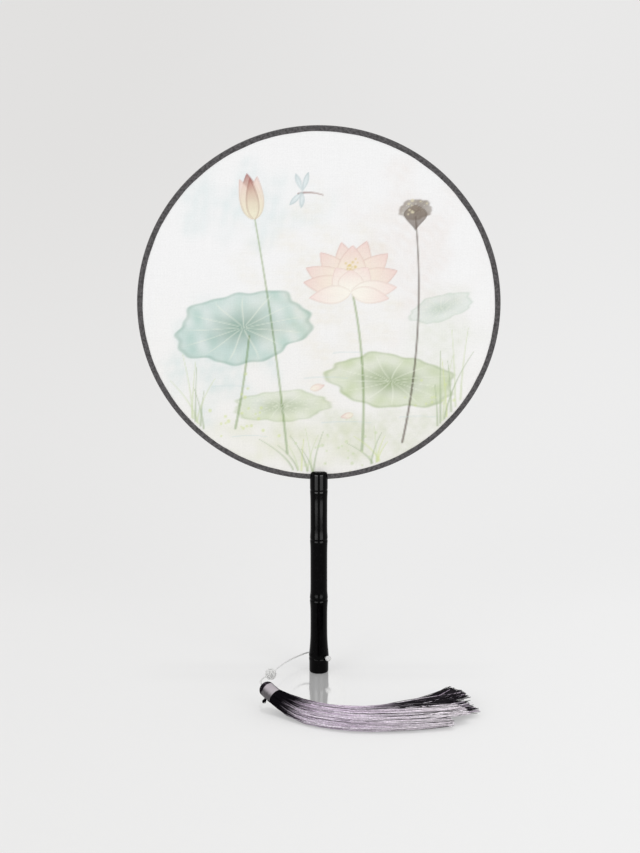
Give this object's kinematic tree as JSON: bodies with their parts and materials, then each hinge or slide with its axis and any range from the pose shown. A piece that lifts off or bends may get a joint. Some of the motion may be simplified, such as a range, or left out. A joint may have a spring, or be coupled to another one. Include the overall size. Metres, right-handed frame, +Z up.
{
  "type": "round hand fan",
  "caption": "Round court fan: a silk leaf stretched on a hoop with a bound rim, on a black handle turned like bamboo, with a thread tassel on a cord through its foot.",
  "frame": {"origin": "middle of the handle's foot, where a stand's socket or a hand holds the fan", "axes": "+Z up along the handle, the leaf in the XZ plane with its painted face towards -Y, +X to the right as seen from the front"},
  "size_m": [0.25, 0.1378, 0.3922],
  "materials": {
    "lacquer": "black gloss lacquer",
    "bamboo": "plain split bamboo",
    "front_silk": "painted silk gauze",
    "rear_silk": "plain silk gauze",
    "rim_tape": "woven tape",
    "white_cord": "braided cord",
    "black_thread": "silk thread",
    "silver_satin": "satin ribbon",
    "skirt_thread": "silk thread"
  },
  "bodies": {
    "fan": {"handle": "lacquer", "hoop": "bamboo", "front_silk": "front_silk", "rear_silk": "rear_silk", "edge_binding": "rim_tape"},
    "cord": {"stopper_knot": "white_cord", "hanging_cord": "white_cord", "head_knot": "white_cord"},
    "tassel": {"head_cord": "white_cord", "tassel_head": "black_thread", "neck_band": "silver_satin", "binding_tail": "black_thread", "skirt_lock_1": "skirt_thread", "skirt_lock_2": "skirt_thread", "skirt_lock_3": "skirt_thread", "skirt_lock_4": "skirt_thread", "skirt_lock_5": "skirt_thread", "skirt_lock_6": "skirt_thread", "skirt_lock_7": "skirt_thread"}
  },
  "joints": [
    {"name": "cord_swing", "type": "hinge", "parent": "fan", "child": "cord", "pos_m": [0, 0, 0.0118], "axis": [-0.7071, 0.7071, 0], "range_deg": [-75, 60]},
    {"name": "tassel_turn", "type": "hinge", "parent": "cord", "child": "tassel", "pos_m": [-0.0336, -0.0445, 0.0138], "axis": [0, 0, 1], "range_deg": [-90, 60]}
  ]
}
